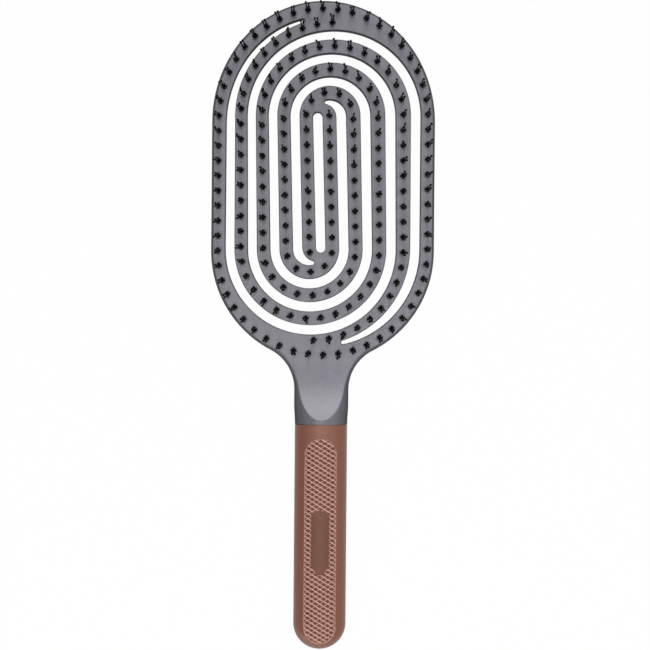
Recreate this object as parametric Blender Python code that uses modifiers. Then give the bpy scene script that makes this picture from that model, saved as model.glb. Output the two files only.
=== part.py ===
"""A vented detangling hair brush.

A grey moulded frame carries a flat head cut by two spiral slots, a scooped neck and a hidden tang.
Rows of bristle tufts are set along every rib of the head. A copper-coloured sleeve is pushed over
the tang as the handle, with a grip panel inlaid in its front.

Metres, +Z up. The brush lies on its back, with its bristles pointing to +Z, its head towards +Y and
its handle towards -Y. X = 0 is the handle's axis, Y = 0 is the middle of the length, and Z = 0 is
the lowest line of the handle.
"""

import math
import random

import bmesh
import bpy
from mathutils import Matrix, Vector

# Whole brush
OVERALL_LENGTH = 0.250
PLATE_THICKNESS = 0.006
SEAT_GAP = 0.0003
CHORD_SAG = 0.00008
CUT_OVERRUN = 0.003
WELD_DISTANCE = 0.000001
SHARP_ANGLE = 30

# Outline of the head: an arc at the neck end, straight sides, and half an ellipse at the top
HEAD_WIDTH = 0.086
HEAD_TOP_SHARE = 1.086
RIM_SETBACK = 0.001
RIM_STEPS = 5

# Neck: it flares into the head, and a scoop on each face thins it from the handle to the plate
NECK_LENGTH = 0.0237
NECK_SWELL = 0.0007
NECK_TAPER = 0.008
FLARE_RADIUS = 0.017
COLLAR_LENGTH = 0.0016
SCOOP_RUN_OUT = 0.0008
SCOOP_STEPS = 9

# Spiral slots
SLOT_WIDTH = 0.0036
RIM_WIDTH = 0.00555
SLOTS_PER_SIDE = 4
SPIRAL_TOP_RISE = 0.0022
SPIRAL_FOOT_RISE = 0.0008
CORE_DRIFT_TOP = 0.00228
CORE_DRIFT_FOOT = 0.0007
CORE_SLOT_REACH = 0.0014
CORE_CORNER_SHARE = 0.6
CORE_CORNER_DROP = 0.0006
BLIND_TOP_EASE = 0.0004
BLIND_FOOT_EASE = 0.0012
BLIND_ROW_EASE = 0.0006
CORE_ROW_RUN_ON = 0.0014
CORE_ROW_SHIFT = 0.0003
BLIND_RIM_EASE = 0.0007
BLIND_END_ANGLE = 13.0
BLIND_END_INNER_ANGLE = 19.7
HOOK_ANGLE = 10.0
CAP_STEPS = 4

# Bristle tufts, each a few strands on a strip of backing that lies flush in a groove
BRISTLE_HEIGHT = 0.015
SHORT_STRAND_SHARE = 0.9
STRAND_RADIUS = 0.0005
STRAND_TIP_RADIUS = 0.00042
STRAND_SIDES = 3
STRAND_SPACING = 0.0013
TIP_SPACING_SHARE = 0.8
STRAND_ROOT = 0.0007
FAN_SHARE = 0.0173
FAN_SHIFT_ACROSS = 0.014
FAN_SHIFT_ALONG = 0.012
STRAY_LEAN = 0.0007
STRIP_WIDTH = 0.0022
STRIP_DEPTH = 0.0015
STRIP_END_MARGIN = 0.0013
RING_TOP_DROP = 0.0007
RING_FOOT_RISE = 0.0004
RING_TUFTS = 62
ARM_TUFTS = 74
FIRST_TUFT_ANGLE = 92.2
LEAN_SEED = 11

# Handle sleeve and the tang inside it
HANDLE_WIDTH = 0.0202
HANDLE_THICKNESS = 0.014
HANDLE_LENGTH = 0.0867
HANDLE_STEPS = 32
END_STEPS = 7
SLEEVE_WALL = 0.0035
TANG_LENGTH_SHARE = 0.72
TANG_END_GAP = 0.001
TANG_ROOT = 0.004
TANG_STEPS = 24

# Grip panel: an inlay in a shallow recess of the sleeve, with a bare plaque in its middle
PANEL_WIDTH = 0.0125
PANEL_TOP_MARGIN = 0.0054
PANEL_END_MARGIN = 0.0024
RECESS_DEPTH = 0.0012
PANEL_DROP = 0.00015
PLAQUE_DEPTH = 0.0003
PLAQUE_WIDTH = 0.0071
PLAQUE_LENGTH = 0.0247
PLAQUE_TOP_CUT = 0.0014
PLAQUE_FOOT_CUT = 0.0034
PLAQUE_FOOT_WIDTH = 0.0022
PLAQUE_SETTLE = 0.0005

# Sizes and levels that follow from those above. The head's straight sides take up what is left
# of the length.
HEAD_RADIUS = HEAD_WIDTH / 2
HEAD_TOP_RISE = HEAD_RADIUS * HEAD_TOP_SHARE
NECK_WIDTH = HANDLE_WIDTH + NECK_SWELL
HANDLE_END = -OVERALL_LENGTH / 2
JOINT_LEVEL = HANDLE_END + HANDLE_LENGTH
HEAD_FOOT_CENTRE = JOINT_LEVEL + NECK_LENGTH + HEAD_RADIUS
HEAD_TOP_CENTRE = OVERALL_LENGTH / 2 - HEAD_TOP_RISE
PLATE_HALF = PLATE_THICKNESS / 2
HANDLE_HALF = HANDLE_THICKNESS / 2
TANG_LENGTH = HANDLE_LENGTH * TANG_LENGTH_SHARE
BORE_RADIUS = HANDLE_WIDTH / 2 - SLEEVE_WALL
PANEL_LENGTH = HANDLE_LENGTH - PANEL_TOP_MARGIN - PANEL_END_MARGIN
SCOOP_END = JOINT_LEVEL + COLLAR_LENGTH
SCOOP_START = JOINT_LEVEL + NECK_LENGTH + SCOOP_RUN_OUT
SCOOP_LENGTH = SCOOP_START - SCOOP_END
SCOOP_DEPTH = HANDLE_HALF - PLATE_HALF
SCOOP_RADIUS = (SCOOP_LENGTH**2 + SCOOP_DEPTH**2) / (2 * SCOOP_DEPTH)

# The spiral follows from the head's width: the same pitch from rib to rib, out to the rim
PITCH = (HEAD_RADIUS - RIM_WIDTH - SLOT_WIDTH / 2) / SLOTS_PER_SIDE
RIB_WIDTH = PITCH - SLOT_WIDTH
SPIRAL_TOP = HEAD_TOP_CENTRE + SPIRAL_TOP_RISE
SPIRAL_FOOT = HEAD_FOOT_CENTRE + SPIRAL_FOOT_RISE
SPIRAL_MIDDLE = (SPIRAL_TOP + SPIRAL_FOOT) / 2
SPIRAL_REACH = (SPIRAL_TOP - SPIRAL_FOOT) / 2

# Colours from the photograph
FRAME_GREY = (0.205, 0.205, 0.225, 1.0)
BRISTLE_BLACK = (0.008, 0.008, 0.009, 1.0)
SLEEVE_COPPER = (0.285, 0.130, 0.095, 1.0)
PANEL_COPPER = (0.330, 0.155, 0.115, 1.0)


def clear_scene():
    for obj in list(bpy.data.objects):
        bpy.data.objects.remove(obj, do_unlink=True)


class Bench:
    """Where new objects go: one collection for the parts and one for what cuts or joins them.

    All of them hang on one empty, which lifts the mid plane to its height.
    """

    def __init__(self):
        self.parts = self.make_collection("hair_brush")
        self.helpers = self.make_collection("hair_brush_cutters")
        self.mid_plane = bpy.data.objects.new("brush_mid_plane", None)
        self.mid_plane.location = (0, 0, HANDLE_HALF)
        self.parts.objects.link(self.mid_plane)

    def make_collection(self, name):
        collection = bpy.data.collections.new(name)
        bpy.context.scene.collection.children.link(collection)
        return collection

    def add_part(self, name, mesh, *materials):
        obj = bpy.data.objects.new(name, mesh)
        self.parts.objects.link(obj)
        obj.parent = self.mid_plane
        for material in materials:
            mesh.materials.append(material)
        return obj

    def add_helper(self, name, mesh, *materials):
        obj = self.add_part(name, mesh, *materials)
        self.parts.objects.unlink(obj)
        self.helpers.objects.link(obj)
        obj.hide_render = True
        obj.display_type = "WIRE"
        return obj


def make_material(name, colour, roughness, metallic):
    material = bpy.data.materials.new(name)
    material.use_nodes = True
    shader = material.node_tree.nodes["Principled BSDF"]
    shader.inputs["Base Color"].default_value = colour
    shader.inputs["Roughness"].default_value = roughness
    shader.inputs["Metallic"].default_value = metallic
    material.diffuse_color = colour
    return material


def add_boolean(obj, other, operation):
    modifier = obj.modifiers.new(other.name, "BOOLEAN")
    modifier.operation = operation
    modifier.object = other
    modifier.solver = "EXACT"


def arc(centre, radius, start, end):
    """Points from the start angle to the end angle in degrees, close enough for CHORD_SAG."""
    step = 2 * math.acos(1 - CHORD_SAG / radius)
    sweep = math.radians(end - start)
    count = max(2, math.ceil(abs(sweep) / step))
    angles = [math.radians(start) + sweep * i / count for i in range(count + 1)]
    return [centre + radius * Vector((math.cos(a), math.sin(a))) for a in angles]


def half_ellipse(centre, width, height, start, end):
    """Points of an ellipse with these half sizes, between two angles in degrees."""
    step = 2 * math.acos(1 - CHORD_SAG / max(width, height))
    sweep = math.radians(end - start)
    count = max(2, math.ceil(abs(sweep) / step))
    angles = [math.radians(start) + sweep * i / count for i in range(count + 1)]
    return [centre + Vector((width * math.cos(a), height * math.sin(a))) for a in angles]


def smooth_step(value):
    value = min(1, max(0, value))
    return value * value * (3 - 2 * value)


def prism(name, loops, low, high):
    """A closed mesh with these outlines, filled between two heights. Inner loops are holes."""
    curve = bpy.data.curves.new(name, "CURVE")
    curve.dimensions = "2D"
    curve.fill_mode = "BOTH"
    curve.extrude = (high - low) / 2
    for loop in loops:
        spline = curve.splines.new("POLY")
        spline.points.add(len(loop) - 1)
        for point, place in zip(spline.points, loop):
            point.co = (place.x, place.y, 0, 1)
        spline.use_cyclic_u = True
        spline.use_smooth = False
    guide = bpy.data.objects.new(name, curve)
    bpy.context.scene.collection.objects.link(guide)
    bpy.context.view_layer.update()
    graph = bpy.context.evaluated_depsgraph_get()
    mesh = bpy.data.meshes.new_from_object(guide.evaluated_get(graph))
    bpy.data.objects.remove(guide)
    mesh.name = name
    mesh.transform(Matrix.Translation((0, 0, (high + low) / 2)))
    tidy_mesh(mesh)
    return mesh


def tidy_mesh(mesh):
    """Welds loose caps and turns every face outwards."""
    form = bmesh.new()
    form.from_mesh(mesh)
    bmesh.ops.remove_doubles(form, verts=form.verts, dist=WELD_DISTANCE)
    bmesh.ops.recalc_face_normals(form, faces=form.faces)
    form.to_mesh(mesh)
    form.free()


# Head and neck outline


def flare_centre():
    """The flare's arc touches the neck's straight side and the head's lower arc."""
    across = NECK_WIDTH / 2 + FLARE_RADIUS
    along = math.sqrt((HEAD_RADIUS + FLARE_RADIUS) ** 2 - across**2)
    return Vector((across, HEAD_FOOT_CENTRE - along))


def neck_half_width(level):
    """Half the neck's width between the joint and the flare."""
    grown = smooth_step((level - JOINT_LEVEL) / NECK_TAPER)
    return HANDLE_WIDTH / 2 + (NECK_WIDTH - HANDLE_WIDTH) / 2 * grown


def scoop_height(level):
    """Height of the scooped face over the mid plane."""
    run = min(SCOOP_LENGTH, max(0, SCOOP_START - level))
    return PLATE_HALF + SCOOP_RADIUS - math.sqrt(SCOOP_RADIUS**2 - run**2)


def scoop_levels():
    """Levels of the neck, closer together where the scoop's rounded tip needs them."""
    lowest = math.asin(PLATE_HALF / HANDLE_HALF)
    levels = [JOINT_LEVEL]
    for i in range(SCOOP_STEPS + 1):
        angle = math.pi / 2 + (lowest - math.pi / 2) * i / SCOOP_STEPS
        rise = HANDLE_HALF * math.sin(angle) - PLATE_HALF
        run = math.sqrt(max(0, SCOOP_RADIUS**2 - (SCOOP_RADIUS - rise) ** 2))
        levels.append(SCOOP_START - run)
    return levels


def right_outline():
    """(point, inward normal) pairs up the right side, from the joint to the brush's top."""
    centre = flare_centre()
    pairs = []
    for level in scoop_levels():
        if level < centre.y:
            pairs.append((Vector((neck_half_width(level), level)), Vector((-1, 0))))
    touch = Vector((0, HEAD_FOOT_CENTRE)) - centre
    touch_angle = math.degrees(math.atan2(touch.y, touch.x))
    for point in arc(centre, FLARE_RADIUS, 180, touch_angle):
        pairs.append((point, (point - centre).normalized()))
    foot = Vector((0, HEAD_FOOT_CENTRE))
    for point in arc(foot, HEAD_RADIUS, touch_angle - 180, 0)[1:]:
        pairs.append((point, (foot - point).normalized()))
    top = Vector((0, HEAD_TOP_CENTRE))
    for point in half_ellipse(top, HEAD_RADIUS, HEAD_TOP_RISE, 0, 90):
        slope = Vector((point.x / HEAD_RADIUS**2, (point.y - top.y) / HEAD_TOP_RISE**2))
        pairs.append((point, -slope.normalized()))
    return pairs


def full_outline():
    right = right_outline()
    left = [(Vector((-p.x, p.y)), Vector((-n.x, n.y))) for p, n in reversed(right[:-1])]
    return right + left


def rim_section(point, normal):
    """(place, height) pairs from the mid plane to the edge of the face.

    The rim is the handle's oval carried round the head, cut off by the flat or scooped face.
    """
    head_bulge = RIM_SETBACK / (1 - math.cos(math.asin(PLATE_HALF / HANDLE_HALF)))
    on_head = point.y > HEAD_FOOT_CENTRE
    headward = 1 if on_head else smooth_step((abs(point.x) - NECK_WIDTH / 2) / FLARE_RADIUS)
    bulge = abs(point.x) * (1 - headward) + head_bulge * headward
    edge = point
    for _ in range(RIM_STEPS):
        top_angle = math.asin(min(1, scoop_height(edge.y) / HANDLE_HALF))
        edge = point + normal * bulge * (1 - math.cos(top_angle))
    section = []
    for i in range(RIM_STEPS + 1):
        angle = top_angle * i / RIM_STEPS
        inset = bulge * (1 - math.cos(angle))
        section.append((point + normal * inset, HANDLE_HALF * math.sin(angle)))
    return section


def frame_body_mesh():
    """Head plate and neck: rings that follow the rim, closed by the two faces and the joint's end."""
    sections = [rim_section(p, n) for p, n in full_outline()]
    form = bmesh.new()
    front = []
    back = []
    for section in sections:
        column = [form.verts.new((p.x, p.y, h)) for p, h in section]
        mirror = [column[0]] + [form.verts.new((p.x, p.y, -h)) for p, h in section[1:]]
        front.append(column)
        back.append(mirror)
    count = len(sections)
    for side in (front, back):
        for i in range(count - 1):
            for k in range(RIM_STEPS):
                face = form.faces.new((side[i][k], side[i + 1][k], side[i + 1][k + 1], side[i][k + 1]))
                face.smooth = True
        edge = [column[RIM_STEPS] for column in side]
        flat = next(i for i in range(count) if sections[i][RIM_STEPS][0].y >= SCOOP_START)
        for i in range(flat):
            form.faces.new((edge[i], edge[i + 1], edge[count - 2 - i], edge[count - 1 - i]))
        form.faces.new(edge[flat : count - flat])
    end_loop = front[0] + front[-1][::-1] + back[-1][1:] + back[0][:0:-1]
    form.faces.new(end_loop)
    bmesh.ops.remove_doubles(form, verts=form.verts, dist=WELD_DISTANCE)
    bmesh.ops.recalc_face_normals(form, faces=form.faces)
    mesh = bpy.data.meshes.new("head_frame")
    form.to_mesh(mesh)
    form.free()
    return mesh


# Spiral: drawn even and point-symmetric about its middle, then settled to its real place


def settle(point):
    """Moves a point of the even spiral to its place: the core sits a little to the left.

    The shift fades with the square of the distance from the core, and is larger at the top.
    """
    level = min(SPIRAL_REACH, max(-SPIRAL_REACH, point.y))
    beyond = point.y - level
    reach = SLOTS_PER_SIDE * PITCH
    fade = max(0, 1 - (point.x**2 + beyond**2) / reach**2)
    share = (level + SPIRAL_REACH) / (2 * SPIRAL_REACH)
    drift = CORE_DRIFT_FOOT + (CORE_DRIFT_TOP - CORE_DRIFT_FOOT) * share
    return Vector((point.x - drift * fade, point.y + SPIRAL_MIDDLE))


def round_cap(start, end):
    """Points of a half circle from start to end, bulging to the right of the way there."""
    centre = (start + end) / 2
    arm = start - centre
    points = []
    for i in range(1, CAP_STEPS):
        angle = math.pi * i / CAP_STEPS
        points.append(centre + Matrix.Rotation(angle, 2) @ arm)
    return points


def rim_inset(angle, at_top):
    """A point on the rim's inner edge, as seen from the spiral's middle. Its tip end is drawn in."""
    share = 2 - angle / (math.pi / 2)
    inset = RIM_WIDTH + BLIND_RIM_EASE * share * (2 - share)
    width = HEAD_RADIUS - inset
    if at_top:
        height = HEAD_TOP_RISE - inset
        centre = HEAD_TOP_CENTRE - SPIRAL_MIDDLE
    else:
        height = width
        centre = SPIRAL_MIDDLE - HEAD_FOOT_CENTRE
    return Vector((width * math.cos(angle), centre + height * math.sin(angle)))


def ease_in(point, centre, amount):
    """Draws a point near a blind end in towards the centre, more so near its tip."""
    way = point - centre
    share = 2 - math.atan2(way.y, way.x) / (math.pi / 2)
    return point - way.normalized() * amount * share


def slot_loop(at_top):
    """One spiral slot, which starts blind at the rim and winds into the core.

    It is drawn for the slot that starts at the top left. The other one is the same turned by half
    a turn, but for the rim that it starts from.
    """
    half = SLOT_WIDTH / 2
    top = Vector((PITCH / 2, SPIRAL_REACH))
    foot = Vector((-PITCH / 2, -SPIRAL_REACH))
    turns = SLOTS_PER_SIDE - 0.5
    outer = []
    start = 90 + BLIND_END_ANGLE
    rim_points = arc(Vector((0, 0)), HEAD_RADIUS - RIM_WIDTH, start, 180)
    for point in rim_points:
        outer.append(rim_inset(math.atan2(point.y, point.x), at_top))
    outer += arc(foot, turns * PITCH + half, 180, 360)
    outer += arc(top, (turns - 1) * PITCH + half, 0, 180)
    outer += arc(foot, (turns - 2) * PITCH + half, 180, 360)
    outer += arc(top, (turns - 3) * PITCH + PITCH / 2 - RIB_WIDTH / 2, 0, 90 + HOOK_ANGLE)
    inner_start = 90 + BLIND_END_INNER_ANGLE
    blind_radius = SLOTS_PER_SIDE * PITCH + RIB_WIDTH / 2
    inner = []
    for point in arc(top, blind_radius, inner_start, 180):
        inner.append(ease_in(point, top, BLIND_TOP_EASE if at_top else BLIND_FOOT_EASE))
    inner += arc(foot, turns * PITCH - half, 180, 360)
    inner += arc(top, (turns - 1) * PITCH - half, 0, 180)
    inner += arc(foot, (turns - 2) * PITCH - half, 180, 360)
    radius = PITCH * CORE_CORNER_SHARE
    corner = Vector((PITCH - half - radius, SPIRAL_REACH - CORE_CORNER_DROP))
    last = math.degrees(math.acos((outer[-1].x - corner.x) / radius))
    inner += arc(corner, radius, 0, last)
    loop = outer + round_cap(outer[-1], inner[-1]) + inner[::-1] + round_cap(inner[0], outer[0])
    if not at_top:
        loop = [-point for point in loop]
    return [settle(point) for point in loop]


def core_slot_loop():
    """The straight slot in the middle, with round ends."""
    half = SLOT_WIDTH / 2
    end = Vector((0, SPIRAL_REACH + CORE_SLOT_REACH - half))
    loop = arc(end, half, 0, 180) + arc(-end, half, 180, 360)
    return [settle(point) for point in loop]


# Rows of tufts


def ring_sections():
    """The outer row, as named sections that follow each other counterclockwise."""
    inset = RIM_WIDTH / 2
    width = HEAD_RADIUS - inset
    height = HEAD_TOP_RISE - inset - RING_TOP_DROP
    drop = width - RING_FOOT_RISE
    top = Vector((0, HEAD_TOP_CENTRE))
    foot = Vector((0, HEAD_FOOT_CENTRE))
    return [
        ("top_right", half_ellipse(top, width, height, 0, 90)),
        ("top_left", half_ellipse(top, width, height, 90, 180)),
        ("left", [Vector((-width, HEAD_TOP_CENTRE)), Vector((-width, HEAD_FOOT_CENTRE))]),
        ("bottom_left", half_ellipse(foot, width, drop, 180, 270)),
        ("bottom_right", half_ellipse(foot, width, drop, 270, 360)),
        ("right", [Vector((width, HEAD_FOOT_CENTRE)), Vector((width, HEAD_TOP_CENTRE))]),
    ]


def arm_sections(turned):
    """One arm's row, from the band beside the blind slot end to the core.

    The second arm is the first one turned by half a turn about the spiral's middle.
    """
    top = Vector((PITCH / 2, SPIRAL_REACH))
    foot = Vector((-PITCH / 2, -SPIRAL_REACH))
    band = arc(top, SLOTS_PER_SIDE * PITCH, FIRST_TUFT_ANGLE, 180)
    if turned:
        band = [ease_in(point, top, BLIND_ROW_EASE) for point in band]
    sections = [("band", band)]
    for turn in range(1, SLOTS_PER_SIDE):
        radius = (SLOTS_PER_SIDE - turn) * PITCH
        downwards = turn % 2 == 1
        centre, start = (foot, 180) if downwards else (top, 0)
        sections.append((f"column_{turn}", [sections[-1][1][-1], arc(centre, radius, start, start + 90)[0]]))
        if turn == SLOTS_PER_SIDE - 1:
            sections.append((f"turn_{turn}", arc(centre, radius, start, start + 180)))
        else:
            sections.append((f"turn_{turn}_first", arc(centre, radius, start, start + 90)))
            sections.append((f"turn_{turn}_last", arc(centre, radius, start + 90, start + 180)))
    core_end = Vector((PITCH / 2, SPIRAL_REACH))
    if turned:
        core_end += Vector((-CORE_ROW_SHIFT, CORE_ROW_RUN_ON))
    sections.append(("core", [sections[-1][1][-1], core_end]))
    if turned:
        sections = [(name, [-point for point in points]) for name, points in sections]
    return [(name, [settle(point) for point in points]) for name, points in sections]


class Row:
    """A row's route as one line of points, with the length run at each point."""

    def __init__(self, sections):
        self.points = [sections[0][1][0]]
        self.runs = [0]
        self.ends = []
        for name, points in sections:
            for point in points:
                step = (point - self.points[-1]).length
                if step > WELD_DISTANCE:
                    self.points.append(point)
                    self.runs.append(self.runs[-1] + step)
            self.ends.append((name, self.runs[-1]))
        self.length = self.runs[-1]

    def at(self, run):
        """Place and direction at a length along the route. Past an end, it goes straight on."""
        index = 1
        while index < len(self.runs) - 1 and self.runs[index] < run:
            index += 1
        start = self.points[index - 1]
        way = (self.points[index] - start).normalized()
        return start + way * (run - self.runs[index - 1]), way

    def between(self, first, last):
        """The route's points from one length to another, both ends included."""
        inner = [p for p, r in zip(self.points, self.runs) if first + SEAT_GAP < r < last - SEAT_GAP]
        return [self.at(first)[0]] + inner + [self.at(last)[0]]


def band_loop(points, width):
    """The outline of a band of this width along a line of points."""
    left = []
    right = []
    for i, point in enumerate(points):
        before = (point - points[max(0, i - 1)]).normalized() if i else None
        after = (points[i + 1] - point).normalized() if i < len(points) - 1 else None
        way = (before or after) + (after or before)
        way.normalize()
        side = Vector((-way.y, way.x)) * width / 2
        stretch = 1 / max(0.5, way.dot(after or before))
        left.append(point + side * stretch)
        right.append(point - side * stretch)
    return left + right[::-1]


def closed_band_loops(points, width):
    """The outer and inner outline of a band along a closed line of points."""
    loops = [[], []]
    count = len(points) - 1
    for i in range(count):
        before = (points[i] - points[i - 1 if i else count - 1]).normalized()
        after = (points[i + 1] - points[i]).normalized()
        way = (before + after).normalized()
        side = Vector((-way.y, way.x)) * width / 2 / way.dot(after)
        loops[0].append(points[i] + side)
        loops[1].append(points[i] - side)
    return loops


def add_strand(form, place, lean, height):
    """One tapered strand from inside the backing to its tip."""
    foot = Vector((place.x, place.y, PLATE_HALF - STRAND_ROOT))
    tip = Vector((place.x + lean.x, place.y + lean.y, PLATE_HALF + height))
    way = tip - foot
    turn = way.to_track_quat("Z", "Y").to_matrix().to_4x4()
    bmesh.ops.create_cone(
        form,
        cap_ends=True,
        segments=STRAND_SIDES,
        radius1=STRAND_RADIUS,
        radius2=STRAND_TIP_RADIUS,
        depth=way.length,
        matrix=Matrix.Translation((foot + tip) / 2) @ turn,
    )


def tuft_lean(place, dice):
    """How far a tuft's tips stand off its foot: fanned out from near the head's middle, and stray."""
    middle = Vector((FAN_SHIFT_ACROSS, SPIRAL_MIDDLE + FAN_SHIFT_ALONG))
    turn = dice.uniform(0, 2 * math.pi)
    stray = Vector((math.cos(turn), math.sin(turn))) * STRAY_LEAN * dice.random()
    return (place - middle) * FAN_SHARE + stray


def strand_mesh(name, row, runs, dice):
    """The strands of a row's tufts. The two of a tuft lean the same way and never cross."""
    form = bmesh.new()
    for run in runs:
        place, way = row.at(run)
        lean = tuft_lean(place, dice)
        for side, share in ((1, 1), (-1, SHORT_STRAND_SHARE)):
            foot = way * side * STRAND_SPACING / 2
            drawn = foot * (TIP_SPACING_SHARE - 1)
            add_strand(form, place + foot, lean * share + drawn, BRISTLE_HEIGHT * share)
    mesh = bpy.data.meshes.new(name)
    form.to_mesh(mesh)
    form.free()
    for face in mesh.polygons:
        face.material_index = 1
    return mesh


def add_row(bench, label, row, tuft_runs, pitch, margin, materials, dice):
    """One node for each section of the row: a strip of backing joined to its strands.

    The strips end a margin past the row's own ends at the most.
    """
    begin = -WELD_DISTANCE
    for name, end in row.ends:
        if name == row.ends[-1][0]:
            end += pitch
        runs = [run for run in tuft_runs if begin <= run < end - WELD_DISTANCE]
        begin = end - WELD_DISTANCE
        first = max(-margin, runs[0] - pitch / 2 + SEAT_GAP / 2)
        last = min(row.length + margin, runs[-1] + pitch / 2 - SEAT_GAP / 2)
        loop = band_loop(row.between(first, last), STRIP_WIDTH)
        strip = prism(f"bristles_{label}_{name}", [loop], PLATE_HALF - STRIP_DEPTH, PLATE_HALF)
        obj = bench.add_part(strip.name, strip, *materials)
        strands = strand_mesh(f"strands_{label}_{name}", row, runs, dice)
        add_boolean(obj, bench.add_helper(strands.name, strands, *materials), "UNION")


def make_rows(bench, materials):
    """All bristle rows. It returns the outlines of the grooves that hold their backing."""
    dice = random.Random(LEAN_SEED)
    groove_width = STRIP_WIDTH + 2 * SEAT_GAP
    ring = Row(ring_sections())
    pitch = ring.length / RING_TUFTS
    runs = [(i + 0.5) * pitch for i in range(RING_TUFTS)]
    add_row(bench, "ring", ring, runs, pitch, pitch, materials, dice)
    loops = closed_band_loops(ring.points, groove_width)
    for label, turned in (("arm_a", False), ("arm_b", True)):
        row = Row(arm_sections(turned))
        pitch = row.length / (ARM_TUFTS - 1)
        runs = [i * pitch for i in range(ARM_TUFTS)]
        add_row(bench, label, row, runs, pitch, STRIP_END_MARGIN, materials, dice)
        margin = STRIP_END_MARGIN + SEAT_GAP
        loops.append(band_loop(row.between(-margin, row.length + margin), groove_width))
    return loops


# Handle


def turned_mesh(name, profile, flatten):
    """A profile of (radius, level) pairs turned about the handle's axis, then flattened in Z.

    The profile runs from the free end of the axis round to the other.
    """
    mesh = bpy.data.meshes.new(name)
    points = [(radius, 0, level) for radius, level in profile]
    edges = [(i, i + 1) for i in range(len(points) - 1)]
    mesh.from_pydata(points, edges, [])
    guide = bpy.data.objects.new(name, mesh)
    bpy.context.scene.collection.objects.link(guide)
    screw = guide.modifiers.new("turn", "SCREW")
    screw.steps = HANDLE_STEPS
    screw.render_steps = HANDLE_STEPS
    screw.use_merge_vertices = True
    screw.merge_threshold = WELD_DISTANCE
    bpy.context.view_layer.update()
    graph = bpy.context.evaluated_depsgraph_get()
    turned = bpy.data.meshes.new_from_object(guide.evaluated_get(graph))
    bpy.data.objects.remove(guide)
    turned.name = name
    lay_down = Matrix.Rotation(-math.pi / 2, 4, "X")
    turned.transform(Matrix.Diagonal((1, 1, flatten, 1)) @ lay_down)
    tidy_mesh(turned)
    turned.shade_smooth()
    turned.set_sharp_from_angle(angle=math.radians(SHARP_ANGLE))
    return turned


def outer_profile(inset, open_level):
    """The handle's outside, set in by a depth, from its round end up to a level."""
    radius = HANDLE_WIDTH / 2 - inset
    centre = HANDLE_END + HANDLE_WIDTH / 2
    angles = [math.pi / 2 * i / END_STEPS for i in range(END_STEPS + 1)]
    profile = [(radius * math.sin(a), centre - radius * math.cos(a)) for a in angles]
    profile[0] = (0, centre - radius)
    return profile + [(radius, open_level)]


def flatness(inset):
    return (HANDLE_HALF - inset) / (HANDLE_WIDTH / 2 - inset)


def sleeve_mesh():
    rim_level = JOINT_LEVEL - SEAT_GAP
    bore_end = JOINT_LEVEL - TANG_LENGTH - TANG_END_GAP
    bore = [(BORE_RADIUS, rim_level), (BORE_RADIUS, bore_end), (0, bore_end)]
    return turned_mesh("handle_sleeve", outer_profile(0, rim_level) + bore, flatness(0))


def handle_core_mesh(name, inset):
    """The handle's outside as a solid, set in by a depth. It runs past the joint."""
    profile = outer_profile(inset, JOINT_LEVEL + CUT_OVERRUN)
    return turned_mesh(name, profile + [(0, JOINT_LEVEL + CUT_OVERRUN)], flatness(inset))


def tang_mesh():
    """An oval bar that fits the sleeve's bore with the seat gap all round."""
    width = BORE_RADIUS - SEAT_GAP
    thickness = BORE_RADIUS * flatness(0) - SEAT_GAP
    form = bmesh.new()
    length = TANG_LENGTH + TANG_ROOT
    bmesh.ops.create_cone(
        form, cap_ends=True, segments=TANG_STEPS, radius1=width, radius2=width, depth=length
    )
    middle = JOINT_LEVEL + TANG_ROOT - length / 2
    lay_down = Matrix.Rotation(-math.pi / 2, 4, "X")
    flatten = Matrix.Diagonal((1, 1, thickness / width, 1))
    bmesh.ops.transform(
        form, matrix=Matrix.Translation((0, middle, 0)) @ flatten @ lay_down, verts=form.verts
    )
    bmesh.ops.recalc_face_normals(form, faces=form.faces)
    mesh = bpy.data.meshes.new("tang")
    form.to_mesh(mesh)
    form.free()
    return mesh


def stadium_loop(shrink):
    """The grip panel's outline, drawn in on all sides."""
    radius = PANEL_WIDTH / 2 - shrink
    low = HANDLE_END + PANEL_END_MARGIN + PANEL_WIDTH / 2
    high = low + PANEL_LENGTH - PANEL_WIDTH
    return arc(Vector((0, high)), radius, 0, 180) + arc(Vector((0, low)), radius, 180, 360)


def plaque_loop():
    """A long plate with cut corners near the middle of the grip panel, narrower at its foot."""
    middle = HANDLE_END + PANEL_END_MARGIN + PANEL_LENGTH / 2 - PLAQUE_SETTLE
    top = middle + PLAQUE_LENGTH / 2
    foot = middle - PLAQUE_LENGTH / 2
    side = PLAQUE_WIDTH / 2
    right = [
        Vector((PLAQUE_FOOT_WIDTH / 2, foot)),
        Vector((side, foot + PLAQUE_FOOT_CUT)),
        Vector((side, top - PLAQUE_TOP_CUT)),
        Vector((side - PLAQUE_TOP_CUT, top)),
    ]
    return right + [Vector((-point.x, point.y)) for point in reversed(right)]


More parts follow.
